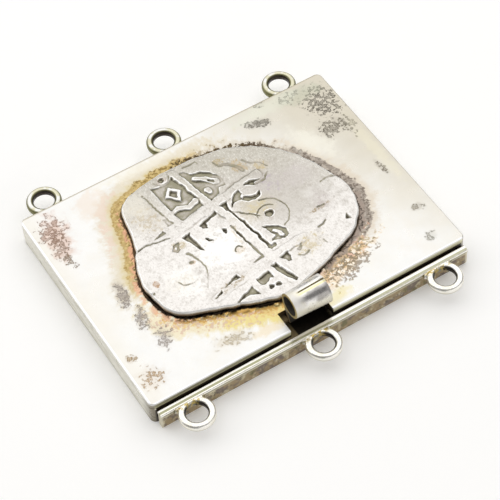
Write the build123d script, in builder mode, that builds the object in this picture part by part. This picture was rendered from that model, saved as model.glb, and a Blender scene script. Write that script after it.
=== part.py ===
"""Box clasp for a three-strand necklace, with an old hand-struck coin soldered on its lid.

Millimetres. X runs along the clasp, -Y is the open side where the tongue goes in, +Z is up.
The origin is at the middle of the clasp, rings included, on the surface that it lies on.
"""
from build123d import *
import math
import os

os.makedirs("parts", exist_ok=True)

# Box: a shallow case of sheet silver, open along its front
box_length = 40.0
box_width = 29.6
box_height = 3.2
lid_thickness = 0.65
wall_thickness = 0.6
floor_thickness = 0.4
corner_radius = 0.7
edge_round = 0.18
seam_depth = 0.07
seam_height = 0.08
catch_bar_height = 0.35
catch_bar_depth = 1.0

# Notch in the lid's front edge, where the thumb roll stands
notch_width = 5.36
notch_depth = 2.75
notch_shift = -0.07

# Wire rings, three on each side
ring_hole_radius = 1.2
ring_wire = 0.84
ring_height = 0.92
ring_round = 0.36
ring_pitch = 15.75
ring_reach = 1.58
rear_ring_z = 2.3
rear_ring_shift = -0.35
front_ring_z = 1.95
front_ring_shift = -0.3
solder_radius = 0.42
solder_sink = 0.12

# Tongue: one sheet folded back on itself behind an end plate
sheet = 0.35
tongue_depth = 17.0
side_clearance = 0.25
floor_clearance = 0.1
catch_clearance = 0.06
fold_gap = 0.05
mouth_gap = 0.4
end_plate_thickness = 0.62
end_plate_inset = 0.5
end_plate_drop = 0.75
end_plate_foot = 0.1
lip_height = 0.45
lip_overhang = 0.12

# Spring leaf: the upper half of the folded sheet, with the thumb strip bent up through the notch
leaf_inset = 0.15
thumb_width = 4.4
thumb_shift = 0.4
thumb_sheet = 0.4
riser_gap = 0.5
roll_forward = 1.03
roll_lift = 1.85
roll_radius_left = 1.5
roll_radius_right = 1.7
roll_seam_width = 0.17
roll_seam_depth = 0.12
roll_seam_bearing = 88.0
roll_seam_start = 1.15

# Coin: flat struck silver with an uneven edge, on a bed of solder
coin_length = 26.2
coin_width = 22.3
coin_thickness = 0.85
coin_edge_round = 0.2
bed_height = 0.1
bed_inset = 0.55
relief_height = 0.14
relief_root = 0.05
relief_draft_angle = 20.0
bar_width = 1.0
arc_width = 0.35

# The coin's edge, clockwise from its far left corner, as shares of its length and width
COIN_OUTLINE = [
    # along, across
    (-0.345, 0.448),
    (-0.190, 0.498),
    (-0.040, 0.503),
    (0.095, 0.484),
    (0.230, 0.430),
    (0.365, 0.295),
    (0.445, 0.130),
    (0.478, 0.010),
    (0.498, -0.090),
    (0.480, -0.200),
    (0.412, -0.318),
    (0.270, -0.398),
    (0.100, -0.463),
    (-0.040, -0.489),
    (-0.190, -0.430),
    (-0.345, -0.359),
    (-0.458, -0.287),
    (-0.497, -0.175),
    (-0.503, -0.060),
    (-0.468, 0.075),
    (-0.420, 0.205),
    (-0.398, 0.350),
]

# Raised bars of the coin's cross, from one end to the other, and their widths in bar widths
COIN_BARS = [
    # from along, from across, to along, to across, width
    (-0.400, 0.112, 0.150, 0.205, 1.00),
    (-0.095, 0.440, 0.030, -0.430, 0.95),
    (-0.245, 0.425, -0.165, 0.000, 0.75),
    (-0.270, -0.320, 0.190, -0.235, 0.95),
    (0.075, 0.190, 0.145, 0.060, 0.60),
    (0.150, 0.205, 0.240, 0.290, 0.60),
    (0.150, 0.205, 0.230, 0.160, 0.60),
    (-0.160, 0.325, -0.105, 0.300, 0.60),
]

# Raised pellets, each with its radius in bar widths
COIN_PELLETS = [
    # along, across, radius
    (0.130, -0.035, 0.90),
    (-0.155, 0.410, 0.40),
    (0.250, 0.140, 0.35),
    (-0.060, -0.370, 0.45),
    (0.085, -0.290, 0.40),
]

# Raised arcs: a centre, a radius in bar widths, and the bearings where each starts and how far it turns
COIN_ARCS = [
    # along, across, radius, from, turn
    (0.130, -0.035, 2.25, -70.0, 190.0),
    (-0.345, -0.095, 2.95, -75.0, 150.0),
    (0.035, 0.320, 1.35, -100.0, 170.0),
]

# Places worked out from the sizes above
end_plate_reach = mouth_gap + end_plate_thickness
box_mid_y = end_plate_reach / 2
front_y = box_mid_y - box_width / 2
rear_y = box_mid_y + box_width / 2
end_plate_front_y = front_y - end_plate_reach
end_plate_back_y = front_y - mouth_gap
cavity_top = box_height - lid_thickness
mouth_top = cavity_top - catch_bar_height
catch_bar_back_y = front_y + catch_bar_depth
cavity_length = box_length - 2 * wall_thickness
leaf_length = cavity_length - 2 * side_clearance
fold_y = front_y + tongue_depth
fold_bottom = floor_thickness + floor_clearance
fold_top = mouth_top - catch_clearance
fold_outer = (fold_top - fold_bottom) / 2
fold_inner = fold_outer - sheet
fold_z = fold_bottom + fold_outer
end_plate_top = box_height - end_plate_drop
end_plate_length = box_length - 2 * end_plate_inset
notch_back_y = front_y + notch_depth
bed_top = box_height + bed_height
coin_top = bed_top + coin_thickness
rear_ring_xs = [rear_ring_shift + i * ring_pitch for i in (-1, 0, 1)]
front_ring_xs = [front_ring_shift + i * ring_pitch for i in (-1, 0, 1)]


def coin_points(inset):
    """The coin's edge in millimetres about the box's middle, drawn in by the inset."""
    half_length = coin_length - 2 * inset
    half_width = coin_width - 2 * inset
    return [(along * half_length, across * half_width) for along, across in COIN_OUTLINE]


def coin_plane(height):
    """A level plane over the box's middle."""
    return Plane(origin=(0, box_mid_y, height))


def ring_section(x, y, z):
    """The wire of one ring, nearly round, standing on a plane through the ring's axis."""
    with BuildSketch(Plane(origin=(x, y, z), x_dir=(1, 0, 0), z_dir=(0, -1, 0))) as section:
        with Locations((ring_hole_radius + ring_wire / 2, 0)):
            RectangleRounded(ring_wire, ring_height, ring_round)
    return section.sketch


def solder_places(x, wall_y, outward, z):
    """Where solder gathers: on both sides of the ring, at the wall."""
    ring_radius = ring_hole_radius + ring_wire
    spread = math.sqrt(ring_radius**2 - ring_reach**2)
    y = wall_y + outward * solder_sink
    return [(x - spread, y, z), (x + spread, y, z)]


# Box with its lid, catch bar, coin bed and rear rings, all soldered into one
with BuildPart() as box:
    with BuildSketch(Plane(origin=(0, box_mid_y, 0))):
        RectangleRounded(box_length, box_width, corner_radius)
    extrude(amount=box_height)
    fillet(box.faces().sort_by(Axis.Z)[-1].edges(), radius=edge_round)
    # The fine seam under the lid's edge, on the three closed sides
    with BuildSketch(Plane(origin=(0, box_mid_y, cavity_top - seam_height))):
        RectangleRounded(box_length + seam_depth, box_width + seam_depth, corner_radius)
        RectangleRounded(
            box_length - 2 * seam_depth,
            box_width - 2 * seam_depth,
            corner_radius - seam_depth,
            mode=Mode.SUBTRACT,
        )
    extrude(amount=seam_height, mode=Mode.SUBTRACT)
    # The hollow, open along the front, and the lower mouth in front of the catch bar
    hollow_depth = box_width - wall_thickness - catch_bar_depth
    with BuildSketch(Plane(origin=(0, catch_bar_back_y + hollow_depth / 2, floor_thickness))):
        Rectangle(cavity_length, hollow_depth)
    extrude(amount=cavity_top - floor_thickness, mode=Mode.SUBTRACT)
    with BuildSketch(Plane(origin=(0, front_y + catch_bar_depth / 2, floor_thickness))):
        Rectangle(cavity_length, 2 * catch_bar_depth)
    extrude(amount=mouth_top - floor_thickness, mode=Mode.SUBTRACT)
    # The thumb notch, cut through the lid and the catch bar
    with BuildSketch(Plane(origin=(notch_shift, front_y, floor_thickness))):
        Rectangle(notch_width, 2 * notch_depth)
    extrude(amount=box_height, mode=Mode.SUBTRACT)
    # The solder bed under the coin
    with BuildSketch(coin_plane(box_height - lid_thickness / 2)):
        with BuildLine():
            Spline(*coin_points(bed_inset), periodic=True)
        make_face()
    extrude(amount=lid_thickness / 2 + bed_height)
    # The rear rings
    for ring_x in rear_ring_xs:
        ring_y = rear_y + ring_reach
        revolve(ring_section(ring_x, ring_y, rear_ring_z), axis=Axis((ring_x, ring_y, 0), (0, 0, 1)))
        with Locations(*solder_places(ring_x, rear_y, 1, rear_ring_z)):
            Sphere(solder_radius)
box.part.label = "box"

# Coin: an uneven disc with raised bars, pellets and arcs, worn nearly flat
with BuildPart() as coin:
    with BuildSketch(coin_plane(bed_top)):
        with BuildLine():
            Spline(*coin_points(0), periodic=True)
        make_face()
    extrude(amount=coin_thickness)
    fillet(coin.faces().sort_by(Axis.Z)[-1].edges(), radius=coin_edge_round)
    with BuildSketch(coin_plane(coin_top - relief_root)):
        for from_along, from_across, to_along, to_across, width in COIN_BARS:
            start = Vector(from_along * coin_length, from_across * coin_width)
            end = Vector(to_along * coin_length, to_across * coin_width)
            middle = (start + end) / 2
            bearing = math.degrees(math.atan2(end.Y - start.Y, end.X - start.X))
            with Locations(Location((middle.X, middle.Y), bearing)):
                Rectangle((end - start).length, width * bar_width)
        for along, across, radius in COIN_PELLETS:
            with Locations((along * coin_length, across * coin_width)):
                Circle(radius * bar_width)
        for along, across, radius, start_bearing, turn in COIN_ARCS:
            centre = (along * coin_length, across * coin_width)
            arc = CenterArc(centre, radius * bar_width, start_bearing, turn, mode=Mode.PRIVATE)
            SlotArc(arc, arc_width)
    extrude(amount=relief_root + relief_height, taper=relief_draft_angle)
coin.part.label = "coin"

# Tongue: end plate with its lip and rings, lower leaf and fold
with BuildPart() as tongue:
    with BuildSketch(Plane.YZ):
        with Locations((fold_y, fold_z)):
            Circle(fold_outer)
            Circle(fold_inner, mode=Mode.SUBTRACT)
            Rectangle(2 * fold_outer, 2 * fold_outer, align=(Align.MAX, Align.CENTER), mode=Mode.SUBTRACT)
        with Locations((end_plate_back_y, fold_bottom)):
            Rectangle(fold_y - end_plate_back_y, sheet, align=(Align.MIN, Align.MIN))
    extrude(amount=leaf_length / 2, both=True)
    with BuildSketch(Plane.YZ):
        with Locations((end_plate_front_y, end_plate_foot)):
            Rectangle(end_plate_thickness, end_plate_top - end_plate_foot, align=(Align.MIN, Align.MIN))
        with Locations((end_plate_front_y - lip_overhang, end_plate_top)):
            RectangleRounded(
                end_plate_thickness + 2 * lip_overhang,
                lip_height,
                edge_round,
                align=(Align.MIN, Align.MAX),
            )
    extrude(amount=end_plate_length / 2, both=True)
    for ring_x in front_ring_xs:
        ring_y = end_plate_front_y - ring_reach
        revolve(ring_section(ring_x, ring_y, front_ring_z), axis=Axis((ring_x, ring_y, 0), (0, 0, 1)))
        with Locations(*solder_places(ring_x, end_plate_front_y, -1, front_ring_z)):
            Sphere(solder_radius)
tongue.part.label = "tongue"

# Spring leaf: hinges at the fold, and its thumb strip rises through the notch and curls into a roll
leaf_front_y = catch_bar_back_y + leaf_inset
leaf_back_y = fold_y - fold_gap
roll_y = notch_back_y - roll_forward
roll_z = box_height + roll_lift
riser_y = notch_back_y - riser_gap
to_roll = Vector(roll_y - riser_y, roll_z - fold_top)
tangent_length = math.sqrt(to_roll.length**2 - roll_radius_left**2)
tangent_angle = math.atan2(to_roll.Y, to_roll.X) - math.asin(roll_radius_left / to_roll.length)
riser_up = Vector(math.cos(tangent_angle), math.sin(tangent_angle))
riser_forward = Vector(-riser_up.Y, riser_up.X)
riser_foot = Vector(riser_y, fold_top) - riser_up * (sheet / riser_up.Y)
riser_head = Vector(riser_y, fold_top) + riser_up * tangent_length
thumb_left_x = thumb_shift - thumb_width / 2
thumb_right_x = thumb_shift + thumb_width / 2
seam_rise = Vector(0, math.cos(math.radians(roll_seam_bearing)), math.sin(math.radians(roll_seam_bearing)))
roll_taper = (roll_radius_right - roll_radius_left) / thumb_width
seam_radius = roll_radius_left + roll_taper * roll_seam_start
seam_plane = Plane(
    origin=Vector(thumb_left_x + roll_seam_start, roll_y, roll_z) + seam_rise * seam_radius,
    x_dir=Vector(1, 0, 0) + seam_rise * roll_taper,
    z_dir=seam_rise - Vector(roll_taper, 0, 0),
)
with BuildPart() as spring_leaf:
    with BuildSketch(Plane.XY.offset(fold_top - sheet)):
        with Locations((0, (leaf_front_y + leaf_back_y) / 2)):
            Rectangle(leaf_length, leaf_back_y - leaf_front_y)
        with Locations((notch_shift, riser_foot.X)):
            Rectangle(notch_width, 4 * notch_depth, align=(Align.CENTER, Align.MAX), mode=Mode.SUBTRACT)
    extrude(amount=sheet)
    with BuildSketch(Plane.YZ.offset(thumb_left_x)):
        with BuildLine():
            Polyline(
                riser_foot,
                riser_head,
                riser_head + riser_forward * thumb_sheet,
                riser_foot + riser_forward * thumb_sheet,
                close=True,
            )
        make_face()
    extrude(amount=thumb_width)
    # The roll is a little wider at its right end, and open at both
    for wall, way in ((0, Mode.ADD), (thumb_sheet, Mode.SUBTRACT)):
        for end_x, end_radius in ((thumb_left_x, roll_radius_left), (thumb_right_x, roll_radius_right)):
            with BuildSketch(Plane.YZ.offset(end_x)):
                with Locations((roll_y, roll_z)):
                    Circle(end_radius - wall)
        loft(mode=way)
    # The fine seam along the top, where the strip's end comes round
    with BuildSketch(seam_plane):
        Rectangle(thumb_width - roll_seam_start, roll_seam_width, align=(Align.MIN, Align.CENTER))
    extrude(amount=-roll_seam_depth, mode=Mode.SUBTRACT)
spring_leaf.part.label = "spring_leaf"

for piece in (box, coin, tongue, spring_leaf):
    export_step(piece.part, "parts/" + piece.part.label + ".step")
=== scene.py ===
"""Looks of a silver box clasp with a hand-struck coin on its lid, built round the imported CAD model.

Metres in the CAD frame: X along the clasp, -Y the open side, +Z up. Sizes in the classes are
millimetres, as at a jeweller's bench, and MM turns them into metres.
"""
from __future__ import annotations

import logging
import math
from dataclasses import dataclass, field
from enum import Enum

import bpy
import numpy as np
from mathutils import Matrix, Vector


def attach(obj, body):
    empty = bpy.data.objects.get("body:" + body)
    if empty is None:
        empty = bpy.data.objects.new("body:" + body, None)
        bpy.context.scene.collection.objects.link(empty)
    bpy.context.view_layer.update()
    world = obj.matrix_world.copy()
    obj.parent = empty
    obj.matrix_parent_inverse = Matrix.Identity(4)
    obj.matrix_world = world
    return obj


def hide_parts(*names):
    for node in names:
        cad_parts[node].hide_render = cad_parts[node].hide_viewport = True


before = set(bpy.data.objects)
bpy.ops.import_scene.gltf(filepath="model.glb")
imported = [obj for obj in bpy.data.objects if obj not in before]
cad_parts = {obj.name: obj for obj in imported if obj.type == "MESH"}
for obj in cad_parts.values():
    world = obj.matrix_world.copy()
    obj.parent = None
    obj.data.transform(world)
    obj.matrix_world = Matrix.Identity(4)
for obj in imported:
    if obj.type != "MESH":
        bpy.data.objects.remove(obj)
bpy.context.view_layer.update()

# Metres in a millimetre, then places and sizes that several pieces share, in millimetres
MM = 0.001
LID_TOP = 3.2
FRONT_WALL = -14.29
REAR_WALL = 15.31
END_PLATE = -15.31
COIN_MIDDLE_Y = 0.51
NOTCH_MIDDLE = -0.07
REAR_RING_SHIFT = -0.35
FRONT_RING_SHIFT = -0.30
RING_PITCH = 15.75
RING_MIDDLE_Y = 16.89
RING_WIRE_INSIDE = 1.2
RING_WIRE_OUTSIDE = 2.04
LOG = logging.getLogger("clasp")

Point = tuple[float, float]
Point3 = tuple[float, float, float]
Socket = bpy.types.NodeSocket
Colour = tuple[float, float, float, float]


def linear(colour: str) -> Colour:
    """Turns an sRGB hex colour into linear light.

    Args:
        colour: Six hex digits after a hash sign.

    Returns:
        Red, green, blue and full opacity.
    """
    shares = (int(colour[i:i + 2], 16) / 255 for i in (1, 3, 5))
    light = (s / 12.92 if s <= 0.04045 else ((s + 0.055) / 1.055) ** 2.4 for s in shares)
    return (*light, 1.0)


def add(tree: bpy.types.NodeTree, kind: str, inputs: dict | tuple = (), out: int | str = 0,
        **settings) -> Socket:
    """Adds one shader node with its settings and links.

    Args:
        tree: Node tree that gets the node.
        kind: Node type without its leading ShaderNode.
        inputs: Values or sockets for its inputs, in order or by name or number.
        out: Output name or number to give back.
        **settings: Properties of the node itself.

    Returns:
        The chosen output socket, or the node where it has none.
    """
    node = tree.nodes.new("ShaderNode" + kind)
    for name, value in settings.items():
        setattr(node, name, value)
    for key, value in inputs.items() if isinstance(inputs, dict) else enumerate(inputs):
        if isinstance(value, Socket):
            tree.links.new(value, node.inputs[key])
        else:
            node.inputs[key].default_value = value
    return node.outputs[out] if node.outputs else node


class Bench:
    """One metal's node tree, with places in millimetres and the few steps that every finish here takes."""

    def __init__(self, name: str) -> None:
        """Starts an empty material.

        Args:
            name: Name of the finish.
        """
        self.material = bpy.data.materials.new(name)
        self.material.use_nodes = True
        self.tree = self.material.node_tree
        self.tree.nodes.clear()
        spot = self.add("TexCoord", out="Object")
        self.place = self.add("VectorMath", {0: spot, "Scale": 1 / MM}, operation="SCALE")
        self.x = self.add("SeparateXYZ", (self.place,), "X")
        self.y = self.add("SeparateXYZ", (self.place,), "Y")
        self.z = self.add("SeparateXYZ", (self.place,), "Z")

    def add(self, kind: str, inputs: dict | tuple = (), out: int | str = 0, **settings) -> Socket:
        """Adds a node to this metal, as add does."""
        return add(self.tree, kind, inputs, out, **settings)

    def stain(self, under: Socket | Colour, tint: str, where: Socket, start: float, full: float,
              most: Socket | float = 1.0) -> Socket:
        """Stains the metal where a measure runs from its start to its full value.

        Args:
            under: Colour so far.
            tint: Colour of the stain.
            where: Measure that places the stain.
            start: Value where the stain starts.
            full: Value from which it is full.
            most: Share of the stain where it is full.

        Returns:
            The stained colour.
        """
        share = self.add("MapRange", (where, start, full, 0.0, most), interpolation_type="SMOOTHSTEP")
        return self.add("Mix", {0: share, 6: under, 7: linear(tint)}, 2, data_type="RGBA")

    def stains(self, under: Socket | Colour, *rows: tuple) -> Socket:
        """Lays stains one over another, each a row of what stain takes after the colour so far."""
        for row in rows:
            under = self.stain(under, *row)
        return under

    def within(self, *ranges: tuple[Socket, float, float], most: Socket | float = 1.0) -> Socket:
        """Masks the places where every measure has come from its start to its full value.

        Args:
            *ranges: Each measure, with the value where the mask starts and the one where it is full.
            most: Value of the mask where it is full.

        Returns:
            The mask.
        """
        for where, start, full in ranges:
            most = self.add("MapRange", (where, start, full, 0.0, most))
        return most

    def crumbs(self, size: float, rough: float) -> tuple[Socket, Socket, Socket]:
        """Makes three unlike patterns of crumbs, for pits and burns that share a place.

        Args:
            size: Width of a crumb in millimetres.
            rough: Weight of the finer crumbs.

        Returns:
            Three patterns, each round one half.
        """
        inputs = {"Vector": self.place, "Scale": 1 / size, "Detail": 4.0, "Roughness": rough}
        mixed = self.add("TexNoise", inputs, "Color")
        return tuple(self.add("SeparateColor", (mixed,), i) for i in range(3))

    def net(self, size: float, torn: Socket) -> Socket:
        """Makes a pattern of short torn lines round cells, as a burnt film leaves when it cracks.

        Args:
            size: Width of a cell in millimetres.
            torn: Pattern round one half that breaks the lines.

        Returns:
            The pattern, highest along the lines.
        """
        bend = self.add("TexNoise", {"Vector": self.place, "Scale": 1.6 / size, "Detail": 4.0}, "Color")
        bend = self.add("VectorMath", (bend, (1.5 * size,) * 3), operation="MULTIPLY")
        place = self.add("VectorMath", (self.place, bend), operation="ADD")
        inputs = {"Vector": place, "Scale": 1 / size}
        inside = self.add("TexVoronoi", inputs, "Distance", feature="DISTANCE_TO_EDGE")
        line = self.add("MapRange", (inside, 0.0, 0.34, 0.20, 0.0))
        return self.add("Math", (torn, 0.92, line), operation="MULTIPLY_ADD")

    def from_notch(self) -> Socket:
        """Measures places along the clasp from the notch's middle."""
        along = self.add("Math", (self.x, NOTCH_MIDDLE), operation="SUBTRACT")
        return self.add("Math", (along,), operation="ABSOLUTE")

    def ring_reach(self, shift: float, y: float) -> Socket:
        """Measures places round a row of rings from the middle of the nearest ring.

        Args:
            shift: Place of the middle ring along the clasp.
            y: Place of the row across it.

        Returns:
            Distance from the ring's middle in millimetres.
        """
        half = RING_PITCH / 2
        along = self.add("Math", (self.x, shift), operation="SUBTRACT")
        along = self.add("Math", (along, half, -half), operation="WRAP")
        across = self.add("Math", (self.y, y), operation="SUBTRACT")
        flat = self.add("CombineXYZ", (along, across))
        return self.add("VectorMath", (flat,), "Value", operation="LENGTH")

    def finish(self, colour: Socket, metal: Socket | float, rough: Socket, height: Socket,
               depth: float) -> bpy.types.Material:
        """Joins the colour, gloss and relief in one metal shader.

        Args:
            colour: Base colour.
            metal: How bare the metal is, from tarnish at 0 to clean metal at 1.
            rough: Roughness.
            height: Relief from 0 to 1.
            depth: Height of the relief in millimetres.

        Returns:
            The finished material.
        """
        bump = self.add("Bump", {"Height": height, "Strength": 1.0, "Distance": depth * MM})
        inputs = {"Base Color": colour, "Metallic": metal, "Roughness": rough, "Normal": bump}
        shader = self.add("BsdfPrincipled", inputs)
        self.add("OutputMaterial", {"Surface": shader})
        return self.material


# Stains of the lid and the coin


@dataclass(frozen=True)
class Blotch:
    """A pitted or stained patch, round a place measured from the coin's middle.

    The turn is in degrees. Crumb picks the pattern of its crumbs, fill says how much of the patch they
    cover, share how dark they are, and veil how dark it is between them.
    """

    colour: str
    x: float
    y: float
    length: float
    width: float
    turn: float
    crumb: int
    fill: float
    share: float
    veil: float = 0.2

    def lay(self, bench: Bench, under: Socket, crumbs: tuple[Socket, ...]) -> tuple[Socket, Socket]:
        """Lays the patch on the metal.

        Args:
            bench: Material being built.
            under: Colour so far.
            crumbs: Patterns of crumbs to pick from.

        Returns:
            The stained colour, and share of the patch's crumbs, which are darkest along their borders.
        """
        inputs = {
            "Vector": bench.add("CombineXYZ", (bench.x, bench.y)),
            "Location": (self.x, self.y + COIN_MIDDLE_Y, 0),
            "Rotation": (0, 0, math.radians(self.turn)),
            "Scale": (self.length, self.width, 1),
        }
        local = bench.add("Mapping", inputs, vector_type="TEXTURE")
        reach = bench.add("VectorMath", (local,), "Value", operation="LENGTH")
        ragged = bench.add("Math", (crumbs[0], 1.6, reach), operation="MULTIPLY_ADD")
        near = bench.add("MapRange", (ragged, 2.0, 1.0), interpolation_type="SMOOTHSTEP")
        raised = bench.add("Math", (near, 0.16, crumbs[self.crumb]), operation="MULTIPLY_ADD")
        gate = 0.74 - 0.25 * self.fill
        most = bench.add("Math", (near, 3 * self.share), operation="MULTIPLY", use_clamp=True)
        border = bench.add("MapRange", (raised, gate + 0.07, gate + 0.02, 0.45, 1.0))
        most = bench.add("Math", (most, border), operation="MULTIPLY")
        share = bench.within((raised, gate - 0.015, gate + 0.015), most=most)
        rows = (self.colour, near, 0.0, 1.0, self.veil), (self.colour, share, 0.0, 1.0)
        return bench.stains(under, *rows), share


@dataclass(frozen=True)
class Halo:
    """A band that follows the coin's edge: most are stains left by heat and solder, the last few a painted
    shadow at the coin's foot.

    It is full round its bearing, in degrees, as far as its spread, and lies from inner to outer
    millimetres outside the edge. Ragged is how far its outer border wanders, soft how wide that
    border is, and fill how much its crumbs cover.
    """

    colour: str
    bearing: float
    spread: float
    inner: float
    outer: float
    ragged: float
    crumb: int
    fill: float
    share: float
    soft: float = 0.16

    def share_at(self, bench: Bench, bearing: Socket, gap: Socket, torn: Socket,
                 crumbs: tuple[Socket, ...]) -> Socket:
        """Works out where the band is.

        Args:
            bench: Material being built.
            bearing: Bearing from the coin's middle in degrees.
            gap: Distance outside the coin's edge in millimetres.
            torn: Pattern round nought that tears the band's border.
            crumbs: Patterns of crumbs to pick from.

        Returns:
            Share of the band.
        """
        turned = bench.add("Math", (bearing, self.bearing), operation="SUBTRACT")
        turned = bench.add("Math", (turned, 180.0, -180.0), operation="WRAP")
        turned = bench.add("Math", (turned,), operation="ABSOLUTE")
        turned = bench.add("Math", (torn, 60.0, turned), operation="MULTIPLY_ADD")
        border = bench.add("Math", (torn, 4.0 * self.ragged, gap), operation="MULTIPLY_ADD")
        gate = 0.5 - 0.25 * (self.fill - 0.5) if self.fill < 1 else 0.1
        return bench.within(
            (turned, 1.1 * self.spread, 0.8 * self.spread),
            (border, self.outer + 0.4 * self.soft, self.outer - 0.6 * self.soft),
            (gap, self.inner - 0.12, self.inner + 0.03),
            (crumbs[self.crumb], gate - 0.02, gate + 0.02),
            most=self.share,
        )


# Meshes, and the coin's edge that its own mesh and its solder follow


def even_bearings(count: int) -> np.ndarray:
    """Lists even bearings from -180 degrees up, in radians."""
    return np.linspace(-math.pi, math.pi, count, endpoint=False)


def band(rings: int, around: int) -> np.ndarray:
    """Joins closed rings of points, each outside the last, with quads.

    Args:
        rings: Number of rings.
        around: Points in each.

    Returns:
        The quads, as rows of point numbers.
    """
    here = np.arange(around * (rings - 1)).reshape(-1, around)
    ahead = np.roll(here, -1, axis=1)
    return np.stack([here, here + around, ahead + around, ahead], axis=-1).reshape(-1, 4)


def ripple(random: np.random.Generator, count: int, width: int) -> np.ndarray:
    """Makes a closed row of smooth random values.

    Args:
        random: Source of the values.
        count: Number of values.
        width: How many of them a bump spans.

    Returns:
        The values, round nought with a spread of one.
    """
    rough = np.tile(random.normal(0, 1, count), 3)
    window = np.hanning(width)
    return np.convolve(rough, window / np.linalg.norm(window), "same")[count:2 * count]


def eased(share: np.ndarray) -> np.ndarray:
    """Eases shares in at nought and out at one."""
    return share * share * (3 - 2 * share)


def between(grid: np.ndarray, column: np.ndarray, row: np.ndarray, ease: bool = False) -> np.ndarray:
    """Reads a grid of values at places between its points.

    Args:
        grid: Values, by column and row.
        column: Columns to read at, with their fractions.
        row: Rows to read at.
        ease: Whether to ease from point to point, instead of going straight.

    Returns:
        The values there.
    """
    i, j = column.astype(int), row.astype(int)
    p, q = column - i, row - j
    if ease:
        p, q = eased(p), eased(q)
    low = grid[i, j] * (1 - p) + grid[i + 1, j] * p
    high = grid[i, j + 1] * (1 - p) + grid[i + 1, j + 1] * p
    return low * (1 - q) + high * q


def put(name: str, data: bpy.types.ID) -> bpy.types.Object:
    """Puts a mesh, light or camera in the scene.

    Args:
        name: Name of the object.
        data: The mesh, light or camera.

    Returns:
        The object.
    """
    made = bpy.data.objects.new(name, data)
    bpy.context.scene.collection.objects.link(made)
    return made


def shape(name: str, places: np.ndarray, faces: list, material: bpy.types.Material) -> bpy.types.Object:
    """Makes a smooth object in the scene.

    Args:
        name: Name of the object.
        places: Its points in millimetres.
        faces: Its faces, as lists of point numbers.
        material: Its material.

    Returns:
        The object.
    """
    mesh = bpy.data.meshes.new(name)
    mesh.from_pydata((np.asarray(places) * MM).tolist(), [], faces)
    mesh.shade_smooth()
    mesh.materials.append(material)
    return put(name, mesh)


@dataclass(frozen=True)
class CoinEdge:
    """Uneven edge of the coin, as places along its length and width."""

    length: float = 26.2
    width: float = 22.3
    turns: tuple[Point, ...] = (
        (-0.345, 0.448), (-0.190, 0.498), (-0.040, 0.503), (0.095, 0.484), (0.230, 0.430),
        (0.365, 0.295), (0.445, 0.130), (0.478, 0.010), (0.498, -0.090), (0.480, -0.200),
        (0.412, -0.318), (0.270, -0.398), (0.100, -0.463), (-0.040, -0.489), (-0.190, -0.430),
        (-0.345, -0.359), (-0.458, -0.287), (-0.497, -0.175), (-0.503, -0.060), (-0.468, 0.075),
        (-0.420, 0.205), (-0.398, 0.350),
    )

    def radii(self, count: int) -> np.ndarray:
        """Measures the edge from the coin's middle at even bearings.

        Args:
            count: Number of bearings, from -180 degrees up.

        Returns:
            Radii in millimetres.
        """
        points = np.array(self.turns) * (self.length, self.width)
        size = len(points)
        # A closed cubic spline: its slopes solve slope[i-1] + 4 slope[i] + slope[i+1] = 3 (p[i+1] - p[i-1])
        matrix = 4 * np.eye(size) + np.roll(np.eye(size), 1, axis=1) + np.roll(np.eye(size), -1, axis=1)
        after, before = np.roll(points, -1, axis=0), np.roll(points, 1, axis=0)
        slopes = np.linalg.solve(matrix, 3 * (after - before))
        share = np.linspace(0, 1, 40, endpoint=False)[None, :, None]
        start, end = points[:, None], after[:, None]
        leave, arrive = slopes[:, None], np.roll(slopes, -1, axis=0)[:, None]
        line = (
            start + leave * share + (3 * (end - start) - 2 * leave - arrive) * share ** 2
            + (2 * (start - end) + leave + arrive) * share ** 3
        ).reshape(-1, 2)
        bearing = np.arctan2(line[:, 1], line[:, 0])
        order = np.argsort(bearing)
        reach = np.hypot(line[:, 0], line[:, 1])
        return np.interp(even_bearings(count), bearing[order], reach[order], period=2 * math.pi)


# The struck coin


class Cut(Enum):
    """How a mark changes the coin's face: the height in millimetres of its top or bottom."""

    BAR = 0.05
    BOSS = 0.01
    RECESS = -0.30
    PANEL = -0.22
    SHALLOW = -0.12
    CRACK = -0.18


@dataclass(frozen=True)
class Mark:
    """One mark on the coin's face: the places it passes, and its width at both ends.

    A mark with no width is a patch, and its places are its corners.
    """

    cut: Cut
    path: tuple[Point, ...]
    start: float = 0.0
    end: float = 0.0

    def distance(self, x: np.ndarray, y: np.ndarray) -> np.ndarray:
        """Measures how far places lie outside the mark.

        Args:
            x: Places along the coin.
            y: Places across it.

        Returns:
            Distances in millimetres, negative inside.
        """
        patch = self.start == 0.0
        points = np.array(self.path + self.path[:1] if patch else self.path)
        steps = np.hypot(*np.diff(points, axis=0).T)
        run = np.concatenate([[0], np.cumsum(steps)]) / steps.sum()
        nearest = np.full(x.shape, 99.0)
        inside = np.zeros(x.shape, bool)
        for i, step in enumerate(steps):
            (ax, ay), (bx, by) = points[i], points[i + 1]
            share = np.clip(((x - ax) * (bx - ax) + (y - ay) * (by - ay)) / step ** 2, 0, 1)
            gap = np.hypot(x - ax - share * (bx - ax), y - ay - share * (by - ay))
            along = run[i] + share * (run[i + 1] - run[i])
            nearest = np.minimum(nearest, gap - (self.start + along * (self.end - self.start)) / 2)
            if patch and ay != by:
                crossing = ((y > ay) != (y > by)) & (x < ax + (y - ay) * (bx - ax) / (by - ay))
                inside ^= crossing
        return np.where(inside, -nearest, nearest) if patch else nearest


def bow(x: float, y: float, radius: float, start: float, turn: float, count: int = 9) -> tuple[Point, ...]:
    """Places along an arc.

    Args:
        x: Arc's middle along the coin.
        y: Arc's middle across it.
        radius: Its radius.
        start: Bearing where it starts, in degrees.
        turn: How far it turns.
        count: Number of places.

    Returns:
        The places in order.
    """
    bearings = [math.radians(start + turn * i / (count - 1)) for i in range(count)]
    return tuple((x + radius * math.cos(b), y + radius * math.sin(b)) for b in bearings)


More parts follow.
